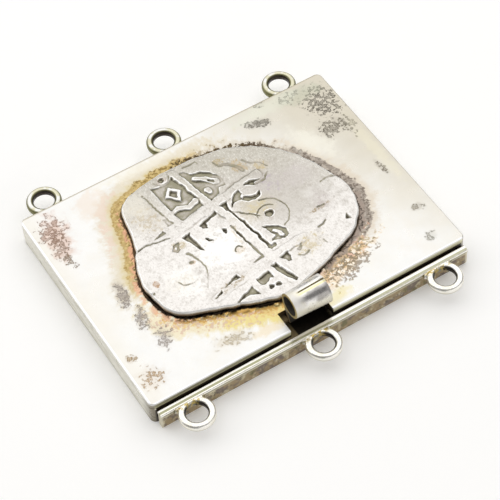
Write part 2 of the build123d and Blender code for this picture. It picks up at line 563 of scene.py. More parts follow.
@dataclass(frozen=True)
class StruckSilver:
    """Old coin silver, struck by hand and rubbed smooth: pale high spots, oxide left in the low ones, and
    painted highlight and shade.
    """

    name: str = "coin_silver_struck_and_worn"
    high: str = "#e6e2dd"
    # cloud is painted shade on the far right side of the face
    cloud: str = "#b1ac9d"
    rubbed: str = "#fcfaf6"
    floor: str = "#97927b"
    oxide: str = "#4a4330"
    # The next two also paint shade down the coin's wall and at its foot
    shaded_foot_line: str = "#30291d"
    grime_and_shade: str = "#9c9386"
    blotches: tuple[Blotch, ...] = (
        Blotch("#a9a296", 6.2, 0.8, 7.0, 6.0, 0, 3, 0.0, 0.0, 0.5),
        Blotch("#b8a27c", 4.2, 7.1, 1.0, 1.5, 20, 1, 0.45, 0.55),
        Blotch("#bfae88", 6.3, 5.9, 1.4, 1.2, -30, 0, 0.35, 0.5),
        Blotch("#b3a27c", 2.6, 8.7, 1.3, 0.9, -35, 2, 0.4, 0.5),
        Blotch("#8d7468", 3.5, -0.6, 0.75, 0.75, 0, 1, 0.9, 0.8),
        Blotch("#93765a", -4.1, 10.1, 0.7, 0.5, 0, 0, 0.9, 0.8),
        Blotch("#c5b795", 4.9, -6.6, 2.6, 1.6, 15, 2, 0.3, 0.45),
        Blotch("#c9bd9b", 2.8, 0.9, 3.2, 2.2, 0, 0, 0.25, 0.45, 0.3),
        Blotch("#b9aa88", -7.3, 1.0, 1.0, 0.8, 0, 1, 0.7, 0.5),
        Blotch("#c0b39a", -8.3, 6.2, 2.4, 3.2, 10, 2, 0.25, 0.4),
        Blotch("#ad8a68", -11.9, -2.1, 0.5, 0.7, 0, 0, 0.6, 0.6),
        Blotch("#b08a52", -7.1, -1.7, 0.4, 0.3, 0, 1, 0.9, 0.8),
        Blotch("#b9a078", -1.9, -3.1, 0.9, 0.6, 0, 2, 0.6, 0.6),
        Blotch("#a4937a", 8.6, -3.0, 2.4, 0.5, 5, 0, 0.4, 0.5),
        Blotch("#b3a27e", -1.0, -1.2, 0.5, 2.2, -5, 1, 0.45, 0.5),
        Blotch("#a5957a", -5.0, -6.6, 2.6, 0.8, 12, 2, 0.4, 0.5),
        Blotch("#c2b7a0", -9.5, -3.4, 2.2, 1.6, -10, 1, 0.2, 0.35),
        # The next two are painted highlight, where the face is brightest
        Blotch("#fdfcf9", -3.4, -2.0, 3.6, 3.4, 20, 3, 0.0, 0.0, 0.55),
        Blotch("#fbf9f4", -9.0, -3.5, 2.4, 3.0, 20, 4, 0.0, 0.0, 0.5),
        Blotch("#bdb4b0", 9.4, -2.0, 1.6, 2.4, 0, 3, 0.2, 0.3, 0.2),
        Blotch("#b9afb2", 5.6, 3.0, 2.2, 2.6, 10, 4, 0.1, 0.3, 0.15),
        Blotch("#e2ddd0", -8.5, 8.6, 2.0, 2.2, 0, 3, 0.1, 0.2, 0.5),
        Blotch("#cbc2c2", 8.8, 2.4, 2.6, 2.0, 0, 5, 0.1, 0.2, 0.25),
    )

    def material(self, foot: float, top: float) -> bpy.types.Material:
        """Builds the material.

        Args:
            foot: Height of the coin's lower face in millimetres.
            top: Height of its upper face.

        Returns:
            The material.
        """
        bench = Bench(self.name)
        # relief holds dirt above 0, and below 0 rubbed edges with a painted highlight
        relief = bench.add("Attribute", out="Fac", attribute_name="relief")
        crumbs = (*bench.crumbs(0.55, 0.65), *bench.crumbs(0.9, 0.75))
        # Scratches finer than a hair are drawn as coarse as a thread, so that they show
        place = bench.add("VectorMath", (bench.place, (1.0, 0.5, 1.0)), operation="MULTIPLY")
        scratch = bench.add("TexNoise", {"Vector": place, "Scale": 1 / 0.14, "Detail": 3.0, "Roughness": 0.7})
        drift = bench.add("TexNoise", {"Vector": bench.place, "Scale": 1 / 2.4, "Detail": 3.0})
        slope = bench.add("Math", (bench.y, 4.0, bench.x), operation="MULTIPLY_ADD")
        slope = bench.add("Math", (drift, 26.0, slope), operation="MULTIPLY_ADD")
        colour = bench.stains(
            linear(self.high),
            # Painted shade makes the far right side greyer
            (self.cloud, slope, 10.0, 58.0, 0.75),
            # Dirt lies in blots and fine scratches, and the metal between the scratches is bright
            (self.grime_and_shade, crumbs[0], 0.50, 0.72, 0.35),
            (self.grime_and_shade, crumbs[3], 0.52, 0.62, 0.22),
            (self.grime_and_shade, scratch, 0.52, 0.72, 0.35),
            (self.rubbed, scratch, 0.48, 0.34, 0.3),
        )
        for blotch in self.blotches:
            colour, _ = blotch.lay(bench, colour, crumbs)
        dirt = bench.add("Math", (crumbs[2], 0.5, relief), operation="MULTIPLY_ADD")
        torn = bench.add("Math", (crumbs[0], 0.5, bench.z), operation="MULTIPLY_ADD")
        colour = bench.stains(
            colour,
            # What stands proud is rubbed bright, raised edges are partly rubbed and partly painted highlight,
            # the rim has a painted highlight, and it is darker round the foot of every wall
            (self.rubbed, bench.z, top + 0.055, top + 0.09, 0.2),
            (self.rubbed, relief, -0.06, -0.4, 0.9),
            (self.grime_and_shade, relief, 0.03, 0.22, 0.6),
            (self.floor, dirt, 0.40, 0.66),
            (self.oxide, dirt, 0.78, 1.16),
            # Painted shade darkens the wall towards the solder under it, darkest in a line at its foot
            (self.grime_and_shade, torn, top + 0.02, foot + 0.7, 0.7),
            (self.shaded_foot_line, torn, foot + 0.62, foot + 0.45, 0.95),
        )
        bare = bench.add("MapRange", (dirt, 0.4, 0.9, 0.92, 0.5))
        bare = bench.add("MapRange", (relief, -0.45, -0.6, bare, 0.5))
        rough = bench.add("MapRange", (scratch, 0.3, 0.7, 0.32, 0.48))
        height = bench.add("Math", (crumbs[1], 0.5, scratch), operation="MULTIPLY_ADD")
        return bench.finish(colour, bare, rough, height, 0.008)


@dataclass
class Coin:
    """The coin: an uneven, worn disc with a cross and small ornaments struck into its face."""

    edge: CoinEdge = field(default_factory=CoinEdge)
    foot: float = 3.3
    top: float = 4.18
    # The grid that the face is struck on, and how far a mark's walls slope
    cell: float = 0.05
    half_length: float = 14.0
    half_width: float = 12.0
    wall: float = 0.13
    # Points round the mesh and from its middle out, and how far its edge wanders
    around: int = 600
    inward: int = 150
    uneven: float = 0.045826
    # Radius of the rounded rim, its turns in radians, and how bright its painted highlight is
    round: float = 0.26
    rim_turns: tuple[float, ...] = (0.52, 1.05, 1.57)
    rim_highlight: float = -0.6
    # The wall under the rim, as shares of its height and how far it stands out there
    wall_rings: tuple[Point, ...] = ((0.6, 0.01), (0.3, 0.0), (0.1, -0.02), (0.0, -0.1))
    finish: StruckSilver = field(default_factory=StruckSilver)

    def marks(self) -> list[Mark]:
        """Lists the marks of the cross and of the ornaments in its corners.

        Returns:
            Marks in the order they are struck, with places in millimetres from the coin's middle.
        """
        bar, boss, recess, panel = Cut.BAR, Cut.BOSS, Cut.RECESS, Cut.PANEL
        shallow, crack = Cut.SHALLOW, Cut.CRACK
        return [
            # The cross's bars stand a little above the field
            Mark(bar, ((-9.4, 2.3), (-3.0, 3.5), (0.6, 4.2), (5.2, 4.9)), 1.0, 1.3),
            Mark(bar, ((-2.6, 10.4), (-1.6, 6.0), (-0.3, 0.9), (0.45, -5.0), (0.8, -9.6)), 0.95, 1.05),
            Mark(bar, ((-6.6, 9.9), (-5.9, 5.9), (-5.7, 3.9)), 0.85, 0.8),
            Mark(bar, ((-7.4, -7.4), (-1.5, -6.2), (4.9, -5.4)), 0.9, 1.1),
            # Upper left corner: a hollow lozenge over a wave, raised in a sunk panel
            Mark(panel, ((-5.75, 9.75), (-4.9, 9.45), (-3.6, 9.55), (-2.95, 9.95), (-2.1, 6.0),
                         (-1.95, 4.5), (-5.0, 3.95), (-5.4, 5.4))),
            Mark(boss, ((-4.05, 9.1), (-2.95, 7.75), (-3.7, 6.5), (-5.0, 7.75))),
            Mark(recess, ((-4.05, 8.35), (-3.5, 7.8), (-3.85, 7.15), (-4.45, 7.75))),
            Mark(boss, ((-5.2, 5.45), (-4.4, 5.75), (-3.5, 5.1), (-2.5, 5.5)), 0.6, 0.85),
            Mark(recess, ((-4.15, 10.2), (-4.1, 10.2)), 0.55, 0.5),
            Mark(shallow, bow(-4.1, 10.6, 1.05, 200, 140), 0.16, 0.16),
            # Upper right corner: a bud and a pellet, raised in a torn panel
            Mark(panel, ((-1.95, 9.95), (-1.35, 9.8), (-0.9, 9.0), (0.2, 8.8), (1.1, 8.0), (1.85, 6.6),
                         (1.6, 5.7), (0.7, 5.75), (0.35, 5.0), (-0.9, 4.6), (-1.25, 6.0))),
            Mark(boss, ((-1.0, 8.35), (0.1, 7.7), (0.85, 6.75)), 0.55, 0.95),
            Mark(boss, ((-0.5, 6.2), (-0.35, 5.75)), 0.75, 0.6),
            Mark(recess, ((0.3, 7.3), (0.62, 6.9)), 0.2, 0.42),
            Mark(shallow, ((-1.3, 10.4), (-0.6, 10.3), (0.4, 10.45), (0.5, 10.1)), 0.18, 0.1),
            Mark(shallow, ((2.1, 9.2), (2.5, 8.4), (3.3, 8.1), (3.9, 7.3), (4.3, 6.5)), 0.22, 0.5),
            Mark(shallow, ((5.1, 7.7), (5.6, 6.9), (6.5, 6.3), (7.0, 5.3)), 0.3, 0.16),
            Mark(shallow, ((4.5, 3.9), (5.6, 3.9), (6.4, 4.6)), 0.3, 0.1),
            # Right arm's end: three leaves
            Mark(recess, ((0.6, 2.45), (0.95, 3.4), (1.7, 3.95), (2.4, 4.1), (2.35, 3.6), (1.85, 3.3),
                          (2.1, 2.75), (1.5, 2.95), (1.05, 2.95))),
            Mark(recess, ((1.95, 2.7), (2.3, 3.1), (2.9, 2.65), (3.6, 2.5), (4.3, 2.85), (4.1, 2.25),
                          (3.2, 2.05), (2.4, 2.2))),
            Mark(recess, ((3.3, 4.45), (4.0, 4.65), (5.1, 4.15), (4.4, 4.2), (4.35, 3.75), (3.9, 4.05))),
            # Under the arms: wedges beside the bars
            Mark(recess, ((-0.55, 3.3), (0.3, 3.45), (0.2, 3.0), (0.05, 2.3), (-0.22, 2.35), (-0.25, 2.85))),
            Mark(recess, ((-3.85, 2.25), (-1.35, 3.05), (-1.35, 2.7), (-3.1, 2.2), (-3.3, 1.5),
                          (-3.65, 1.75))),
            Mark(recess, ((-6.35, 1.75), (-5.25, 1.95), (-5.35, 0.9), (-5.05, -1.05), (-5.45, -0.7),
                          (-5.85, 0.8))),
            Mark(recess, ((-4.15, 0.35), (-3.9, 0.2), (-3.6, -0.5), (-3.95, -0.2))),
            Mark(recess, ((-2.1, 0.5), (-1.75, 0.15), (-1.95, -0.4), (-2.1, 0.0))),
            Mark(shallow, ((-1.0, 0.2), (-0.75, -1.6), (-0.4, -4.2), (-0.2, -5.2)), 0.14, 0.26),
            Mark(crack, ((-0.85, -0.9), (-0.7, -1.6)), 0.3, 0.3),
            Mark(recess, ((0.05, 2.3), (0.35, 0.4), (0.78, -2.0), (1.1, -4.6)), 0.14, 0.34),
            Mark(recess, ((1.1, -4.7), (1.75, -4.6)), 0.46, 0.3),
            Mark(shallow, ((0.2, 1.9), (1.3, 0.9), (2.4, -0.3)), 0.1, 0.12),
            # Right field: a pit inside a worn ring, a leaf with its rib, and small knocks
            Mark(recess, ((3.45, -0.6), (3.55, -0.6)), 0.85, 0.8),
            Mark(shallow, bow(3.4, -0.7, 2.3, -75, 165), 0.1, 0.1),
            Mark(shallow, bow(3.4, -0.7, 1.35, 40, 130), 0.08, 0.08),
            Mark(panel, ((1.85, -1.75), (2.5, -2.1), (3.35, -2.65), (3.9, -3.3), (3.8, -4.1), (3.1, -4.4),
                         (1.7, -4.05), (2.2, -3.7), (2.55, -3.55), (2.2, -2.85))),
            Mark(boss, ((2.55, -2.75), (3.1, -3.35), (3.15, -3.8)), 0.3, 0.62),
            Mark(shallow, ((7.0, -5.2), (7.6, -5.15), (8.2, -4.8)), 0.22, 0.14),
            Mark(recess, ((10.2, -5.95), (10.55, -5.35), (10.65, -6.2))),
            Mark(shallow, ((6.55, -6.9), (6.65, -7.6)), 0.12, 0.1),
            Mark(shallow, ((8.4, -2.9), (9.2, -2.95)), 0.2, 0.1),
            # Lower row: wedges and pits along the rim
            Mark(recess, ((-5.75, -9.05), (-3.4, -7.95), (-3.1, -9.45), (-4.2, -8.85))),
            Mark(recess, ((-2.5, -7.6), (-1.5, -7.3), (-0.8, -7.35), (-0.8, -8.3), (-1.15, -8.0),
                          (-1.5, -8.45), (-2.0, -8.65), (-2.35, -8.45))),
            Mark(recess, ((-0.8, -9.35), (-0.7, -9.5)), 0.5, 0.4),
            Mark(recess, ((-1.7, -9.3), (-1.4, -9.35)), 0.3, 0.2),
            Mark(recess, ((-0.25, -6.85), (0.45, -6.75), (0.8, -8.0), (1.35, -9.8), (1.0, -9.95),
                          (0.3, -8.6))),
            Mark(recess, ((1.3, -6.5), (2.3, -6.15), (2.35, -6.8), (2.0, -7.5), (1.7, -7.4), (1.6, -6.9))),
            Mark(shallow, ((3.3, -6.5), (4.2, -6.05), (3.95, -6.5), (3.5, -6.85))),
            Mark(shallow, ((3.0, -7.3), (3.6, -7.6), (4.3, -7.4)), 0.14, 0.2),
            Mark(recess, ((-5.9, -6.7), (-3.95, -5.75), (-3.85, -6.35), (-4.6, -6.35))),
            Mark(recess, ((-7.5, -7.35), (-6.4, -6.75), (-6.5, -7.05))),
            Mark(shallow, ((-1.6, -5.5), (-0.1, -4.95), (-0.2, -5.35))),
            # Left field: faint borders, a worn ring and a small flower
            Mark(shallow, ((-7.1, 9.3), (-6.95, 8.3), (-6.4, 5.6)), 0.12, 0.16),
            Mark(shallow, ((-6.9, 5.3), (-6.4, 5.0), (-6.0, 4.1), (-6.75, 4.0))),
            Mark(shallow, ((-9.2, 3.25), (-7.7, 3.8), (-7.5, 3.4))),
            Mark(shallow, ((-8.2, 0.9), (-7.7, 1.5), (-6.95, 1.45), (-7.1, 0.6), (-7.7, 0.3))),
            Mark(boss, ((-7.6, 1.0), (-7.55, 1.0)), 0.4, 0.4),
            Mark(shallow, ((-6.9, -0.3), (-6.3, -1.5), (-6.15, -2.9), (-6.6, -4.2), (-7.4, -5.4)), 0.3, 0.08),
            Mark(shallow, bow(-8.3, -2.6, 1.6, 200, 95), 0.1, 0.1),
            Mark(shallow, ((-7.3, -1.7), (-7.0, -1.8)), 0.3, 0.2),
            Mark(shallow, bow(-1.9, -3.1, 0.55, 30, 150), 0.12, 0.12),
            # Cracks that run in from the edge
            Mark(crack, ((-11.9, 2.9), (-10.4, 3.1), (-8.8, 2.7), (-7.5, 2.6)), 0.2, 0.05),
            Mark(crack, ((13.2, 0.5), (12.3, 0.15), (11.4, 0.2), (10.6, 0.0)), 0.6, 0.06),
            Mark(crack, ((-13.3, -3.0), (-12.8, -3.0)), 0.5, 0.3),
        ]

    def waves(self, x: np.ndarray, y: np.ndarray, size: float, seed: int) -> np.ndarray:
        """Makes smooth random waves.

        Args:
            x: Places along the coin in millimetres.
            y: Places across it.
            size: Spacing of the waves in millimetres.
            seed: Which waves.

        Returns:
            Heights round nought, mostly within one.
        """
        # The waves cover a square that is a little larger than the face
        half = 16
        count = int(2 * half / size) + 4
        grid = np.random.default_rng(seed).normal(0, 1, (count, count))
        return between(grid, (x + half) / size, (y + half) / size, ease=True)

    def soften(self, height: np.ndarray, width: float) -> np.ndarray:
        """Rubs a grid of heights smooth.

        Args:
            height: Heights on the grid.
            width: How far the rubbing reaches, in millimetres.

        Returns:
            The smooth heights.
        """
        across = np.fft.fftfreq(height.shape[0], self.cell)[:, None]
        along = np.fft.rfftfreq(height.shape[1], self.cell)
        keep = np.exp(-2 * (math.pi * width) ** 2 * (across ** 2 + along ** 2))
        return np.fft.irfft2(np.fft.rfft2(height) * keep, s=height.shape)

    def face(self) -> tuple[np.ndarray, np.ndarray]:
        """Strikes the face on a fine grid.

        Returns:
            Heights in millimetres, and how the place is worn: dirt up to 1, and below 0 the raised edges,
            partly rubbed and partly painted highlight.
        """
        along = np.arange(-self.half_length, self.half_length, self.cell)
        across = np.arange(-self.half_width, self.half_width, self.cell)
        x, y = np.meshgrid(along, across)
        # Wear has frayed the marks' edges and filled some of them
        frayed_x = x + 0.06 * self.waves(x, y, 0.8, 13) + 0.03 * self.waves(x, y, 0.3, 17)
        frayed_y = y + 0.06 * self.waves(x, y, 0.8, 14) + 0.03 * self.waves(x, y, 0.3, 18)
        fill = np.clip(0.85 + 0.22 * self.waves(x, y, 1.6, 16), 0.35, 1)
        height = 0.03 * self.waves(x, y, 3.1, 11) + 0.014 * self.waves(x, y, 1.0, 12)
        for mark in self.marks():
            gap = mark.distance(frayed_x, frayed_y)
            inside = eased(np.clip(0.5 - gap / self.wall, 0, 1))
            level = mark.cut.value
            struck = level * fill if level < 0 else np.maximum(height, level)
            height = height * (1 - inside) + struck * inside
        height += 0.007 * self.waves(x, y, 0.5, 15)
        hollow = self.soften(height, 0.14) - height
        dirt = np.clip(hollow / 0.09, 0, 1) * (0.75 + 0.25 * self.waves(x, y, 0.9, 21))
        dirt += np.clip(-height / 0.3, 0, 1) * (0.36 + 0.12 * self.waves(x, y, 0.5, 20))
        # Raised edges are partly rubbed bright and partly given a painted highlight
        edge_highlight = np.clip((height - self.soften(height, 0.18)) / 0.10 - 0.15, 0, 0.4)
        return height, np.clip(dirt, 0, 1) - edge_highlight

    def sample(self, values: np.ndarray, x: np.ndarray, y: np.ndarray) -> np.ndarray:
        """Reads the face's grid at many places.

        Args:
            values: Values on the grid.
            x: Places along the coin.
            y: Places across it.

        Returns:
            The values there.
        """
        return between(values.T, (x + self.half_length) / self.cell, (y + self.half_width) / self.cell)

    def solid(self) -> tuple[np.ndarray, list, np.ndarray]:
        """Works out the coin as rings of points from its middle to its foot.

        Returns:
            Its points in millimetres, its faces, and how each point is worn, with a painted highlight on the
            rim.
        """
        height, wear = self.face()
        bearing = even_bearings(self.around)
        reach = self.edge.radii(self.around)
        reach = reach + self.uneven * ripple(np.random.default_rng(7), self.around, 15)
        inner = reach - self.round
        shares = np.arange(1, self.inward + 1)[:, None] / self.inward
        x, y = shares * inner * np.cos(bearing), shares * inner * np.sin(bearing)
        z = self.top + self.sample(height, x, y)
        tone = self.sample(wear, x, y)
        # The rounded rim, then the wall down to the foot, as outward steps and heights
        side = [
            (inner + self.round * math.sin(turn), z[-1] - self.round * (1 - math.cos(turn)))
            for turn in self.rim_turns
        ]
        wall = z[-1] - self.round - self.foot
        side += [(reach + out, self.foot + share * wall) for share, out in self.wall_rings]
        # The rim's rounding gets a painted highlight, the wall below it none
        worn = [self.rim_highlight] * len(self.rim_turns) + [0.0] * len(self.wall_rings)
        x = np.vstack([x, *(out * np.cos(bearing) for out, _ in side)])
        y = np.vstack([y, *(out * np.sin(bearing) for out, _ in side)])
        z = np.vstack([z, *(level for _, level in side)])
        tone = np.vstack([tone, *(np.full(self.around, value) for value in worn)])
        # Fans of triangles close the face at its middle and the foot underneath
        middle = self.top + self.sample(height, np.zeros(1), np.zeros(1))[0]
        places = np.stack([x.ravel(), y.ravel() + COIN_MIDDLE_Y, z.ravel()], axis=1)
        places = np.vstack([places, [0, COIN_MIDDLE_Y, middle], [0, COIN_MIDDLE_Y, self.foot]])
        here = np.arange(self.around)
        spokes = np.stack([here, np.roll(here, -1)], axis=1).tolist()
        top, bottom, last = len(places) - 2, len(places) - 1, (len(x) - 1) * self.around
        faces = band(len(x), self.around).tolist() + [(top, a, b) for a, b in spokes]
        faces += [(bottom, last + b, last + a) for a, b in spokes]
        return places, faces, np.append(tone.ravel(), [0, 0])

    def build(self) -> bpy.types.Object:
        """Builds the coin and puts it in its node's place.

        Returns:
            The coin's object.
        """
        places, faces, wear = self.solid()
        coin = shape("struck_coin", places, faces, self.finish.material(self.foot, self.top))
        # The relief attribute carries dirt, and below 0 rubbed edges and rim with a painted highlight
        relief = coin.data.attributes.new("relief", "FLOAT", "POINT")
        relief.data.foreach_set("value", wear.astype(np.float32))
        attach(coin, "box")
        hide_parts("coin")
        return coin


# The case and its stained lid


@dataclass(frozen=True)
class SheetSilver:
    """Sterling sheet, rubbed by wear to a soft white gloss, with fire stain and solder burns on the lid."""

    name: str = "sterling_sheet_worn_soft"
    clean: str = "#e3e2df"
    # dull is painted shade towards the lid's far right corner
    dull: str = "#c8c1b0"
    warm: str = "#e0dacd"
    glint: str = "#ffffff"
    wall: str = "#ebe8dc"
    wall_shade: str = "#cbc6b3"
    sawn: str = "#f2efcd"
    sawn_left: str = "#7d775a"
    sawn_low: str = "#cdc8a0"
    catch: str = "#f4efdc"
    corner: str = "#6d6148"
    straw: str = "#e4dfc2"
    border: str = "#b9b09a"
    olive: str = "#7d7a50"
    brown: str = "#6d5c44"
    oxide: str = "#3a3128"
    side_wall: float = -20.0
    cavity_half: float = 19.4
    floor: float = 0.4
    notch_half: float = 2.68
    notch_back: float = -11.54
    halos: tuple[Halo, ...] = (
        # Upper left: a pale fringe, a mottled ochre burn, and a pink line at the coin's foot
        Halo("#d3cab6", 130, 64, -0.2, 3.3, 1.0, 0, 1.0, 0.8, 1.6),
        Halo("#d8c3b4", 146, 20, 1.2, 3.0, 0.8, 1, 0.60, 0.6, 0.6),
        Halo("#cdbf97", 136, 56, -0.2, 1.9, 0.6, 0, 1.0, 0.75, 0.7),
        Halo("#b39a68", 134, 48, -0.2, 1.35, 0.35, 0, 1.0, 0.9, 0.2),
        Halo("#c4ad78", 98, 22, 0.2, 1.5, 0.4, 0, 1.0, 0.85, 0.2),
        Halo("#8f7840", 126, 46, 0.2, 1.3, 0.5, 4, 0.38, 0.55),
        Halo("#d6c288", 136, 46, 0.2, 1.2, 0.4, 5, 0.38, 0.5),
        Halo("#d3a283", 160, 24, 0.1, 0.8, 0.3, 1, 0.60, 0.8, 0.4),
        Halo("#775f30", 96, 24, 0.5, 1.6, 0.9, 5, 0.34, 0.7),
        # Upper right: a torn dark line on a faint smear
        Halo("#c9bfad", 42, 50, -0.2, 1.7, 0.7, 0, 1.0, 0.55, 0.7),
        Halo("#54452c", 68, 28, -0.3, 1.02, 0.7, 4, 0.75, 0.95),
        Halo("#54473a", 30, 24, -0.3, 1.05, 0.8, 3, 0.80, 0.95),
        # Right: a grey mauve band with a paler border
        Halo("#cfc4b3", -8, 50, -0.2, 2.4, 0.9, 0, 1.0, 0.75, 1.2),
        Halo("#948a80", -6, 42, -0.2, 1.45, 0.5, 1, 1.0, 0.9, 0.16),
        Halo("#6f6459", -6, 42, -0.2, 1.5, 0.6, 5, 0.42, 0.75),
        Halo("#bbb1a4", -6, 42, 0.1, 1.5, 0.6, 4, 0.36, 0.6),
        # Lower right: crumbs of pink, ochre and grey solder burn
        Halo("#dccab1", -58, 20, -0.2, 2.8, 0.9, 0, 1.0, 0.9, 0.8),
        Halo("#cfa795", -52, 20, 0.0, 1.8, 0.7, 1, 0.50, 0.7, 0.3),
        Halo("#dfbfae", -56, 16, 0.6, 2.4, 0.7, 2, 0.44, 0.8, 0.3),
        Halo("#cdb184", -56, 18, -0.1, 2.3, 0.8, 2, 0.50, 0.7, 0.3),
        Halo("#998b80", -38, 30, -0.3, 0.75, 0.5, 0, 1.0, 0.8, 0.3),
        Halo("#9c9070", -54, 16, 0.8, 2.4, 0.8, 6, 0.27, 0.7),
        Halo("#857663", -56, 13, 0.9, 3.3, 0.9, 6, 0.32, 0.7),
        Halo("#f1e9dc", -54, 20, 0.9, 2.7, 0.9, 3, 0.27, 0.65),
        # Lower left: yellow and ochre
        Halo("#ddd3b6", -128, 42, -0.2, 2.9, 0.9, 0, 1.0, 0.85, 1.0),
        Halo("#d9ca86", -110, 22, -0.2, 2.5, 0.8, 0, 1.0, 0.8, 0.6),
        Halo("#d6b97c", -122, 34, -0.2, 1.6, 0.6, 3, 0.55, 0.75),
        Halo("#c59c58", -124, 34, -0.2, 0.95, 0.45, 4, 0.70, 0.85),
        Halo("#cbb09c", -138, 26, 0.6, 2.2, 0.8, 5, 0.42, 0.7),
        Halo("#dcb092", -166, 20, -0.1, 0.85, 0.3, 2, 0.72, 0.7, 0.4),
        # The shadowed line at the coin's foot
        Halo("#3f3020", -150, 62, -0.4, 0.22, 0.12, 0, 1.0, 1.0),
        Halo("#2b2219", -118, 66, -0.4, 0.26, 0.12, 0, 1.0, 1.0),
        Halo("#4a3b28", 152, 36, -0.4, 0.20, 0.10, 0, 1.0, 0.95),
        Halo("#4f4334", 6, 70, -0.4, 0.15, 0.10, 0, 1.0, 0.95),
    )
    blotches: tuple[Blotch, ...] = (
        # Far left: a net of fine pits that tapers along the edge
        Blotch("#d0b09e", -17.5, 10.4, 2.0, 4.2, -9, 3, 0.0, 0.0, 0.62),
        Blotch("#947360", -17.7, 11.6, 2.1, 2.5, -9, 6, 0.10, 0.75, 0.05),
        Blotch("#957965", -17.9, 9.0, 1.4, 2.4, -12, 6, 0.05, 0.7, 0.05),
        Blotch("#8f7a62", -17.9, 6.7, 0.7, 1.6, 8, 5, 0.28, 0.6, 0.1),
        # Far right: torn fragments with white between them
        Blotch("#cbc4b6", 17.3, 10.2, 2.9, 4.4, 4, 3, 0.0, 0.0, 0.3),
        Blotch("#574f43", 17.7, 10.8, 2.4, 3.2, 4, 6, 0.08, 0.85, 0.05),
        Blotch("#7a7263", 16.6, 6.8, 2.2, 1.5, 10, 3, 0.36, 0.85, 0.2),
        Blotch("#8b8473", 18.6, 6.2, 1.0, 2.2, 0, 5, 0.30, 0.8, 0.1),
        Blotch("#b4b4a0", 16.0, 13.1, 3.6, 1.5, -4, 0, 0.0, 0.0, 0.7),
        Blotch("#a19c8c", 14.8, 13.4, 3.0, 1.2, -4, 5, 0.14, 0.7, 0.1),
        Blotch("#716b5f", 9.9, 12.0, 1.9, 0.9, -14, 4, 0.46, 0.9, 0.35),
        Blotch("#7d776a", 11.5, 14.4, 0.9, 0.5, 0, 3, 0.50, 0.85, 0.2),
        # Left: three hatched smears beside the coin
        Blotch("#9f958d", -15.3, -0.7, 0.95, 2.3, -8, 3, 0.50, 0.75, 0.5),
        Blotch("#9f958d", -15.2, -4.6, 0.95, 2.1, -14, 4, 0.48, 0.75, 0.5),
        Blotch("#a59b92", -14.4, -7.9, 1.2, 1.8, -28, 5, 0.36, 0.75, 0.45),
        # Small marks along the right and near borders
        Blotch("#857c6c", 18.0, -1.4, 0.55, 1.6, 8, 4, 0.30, 0.8, 0.3),
        Blotch("#938a78", 18.1, -8.4, 1.1, 0.8, 0, 5, 0.40, 0.75, 0.3),
        Blotch("#a8a496", 16.9, -12.5, 1.0, 0.8, 20, 3, 0.30, 0.6, 0.3),
        Blotch("#a38452", -18.7, -8.4, 0.8, 0.6, -20, 4, 0.45, 0.8, 0.3),
        Blotch("#bb9c74", -17.9, -11.7, 2.0, 2.0, 0, 5, 0.28, 0.5, 0.2),
        # Faint veils, warm near the coin and grey green towards the far border
        Blotch("#d5d6c6", 12.0, 13.6, 6.5, 1.5, 0, 0, 0.0, 0.0, 0.5),
        Blotch("#e4e0d2", -5.0, 14.0, 7.0, 1.0, 0, 0, 0.0, 0.0, 0.5),
        Blotch("#d9d3bc", 18.9, 1.5, 0.9, 7.0, 0, 0, 0.0, 0.0, 0.5),
        Blotch("#e6e3d6", 13.4, 6.0, 2.0, 4.0, 25, 0, 0.0, 0.0, 0.5),
        Blotch("#dccf94", 3.9, -13.6, 2.6, 1.0, 14, 0, 0.0, 0.0, 0.6),
        Blotch("#dcc79a", -4.6, -13.3, 2.2, 0.9, -6, 0, 0.0, 0.0, 0.5),
        Blotch("#ddd0c2", -12.2, 12.4, 2.6, 2.2, 35, 0, 0.0, 0.0, 0.6),
        Blotch("#c9bca2", -8.2, -12.2, 2.6, 1.2, -8, 5, 0.30, 0.6, 0.45),
    )

    def coin_gap(self, bench: Bench, edge: CoinEdge) -> tuple[Socket, Socket, Socket]:
        """Measures places on the lid from the coin's edge.

        Args:
            bench: Material being built.
            edge: The coin's edge.

        Returns:
            Bearing from the coin's middle in degrees, distance outside its edge, and torn hairs that
            run outwards, round nought.
        """
        far = 16.0
        across = bench.add("Math", (bench.y, COIN_MIDDLE_Y), operation="SUBTRACT")
        turn = bench.add("Math", (across, bench.x), operation="ARCTAN2")
        share = bench.add("Math", (turn, 1 / (2 * math.pi), 0.5), operation="MULTIPLY_ADD")
        curve = bench.tree.nodes.new("ShaderNodeFloatCurve")
        count = 48
        radii = edge.radii(count) / far
        points = curve.mapping.curves[0].points
        points[0].location = (0, radii[0])
        points[1].location = (1, radii[0])
        for i in range(1, count):
            points.new(i / count, radii[i])
        curve.mapping.update()
        bench.tree.links.new(share, curve.inputs["Value"])
        flat = bench.add("CombineXYZ", (bench.x, across))
        reach = bench.add("VectorMath", (flat,), "Value", operation="LENGTH")
        rim = bench.add("Math", (curve.outputs[0], far), operation="MULTIPLY")
        gap = bench.add("Math", (reach, rim), operation="SUBTRACT")
        # Hairs of solder 0.4 mm wide run outwards, three times as long
        outward = bench.add("VectorMath", (flat,), operation="NORMALIZE")
        rise = bench.add("Math", (gap, 0.35), operation="MULTIPLY")
        lift = bench.add("CombineXYZ", (0.0, 0.0, rise))
        place = bench.add("VectorMath", (outward, (12.0, 12.0, 0.0), lift), operation="MULTIPLY_ADD")
        hairs = bench.add("TexNoise", {"Vector": place, "Scale": 1 / 0.4, "Detail": 4.0, "Roughness": 0.65})
        torn = bench.add("Math", (hairs, 0.5, -0.25), operation="MULTIPLY_ADD")
        return bench.add("Math", (turn,), operation="DEGREES"), gap, torn

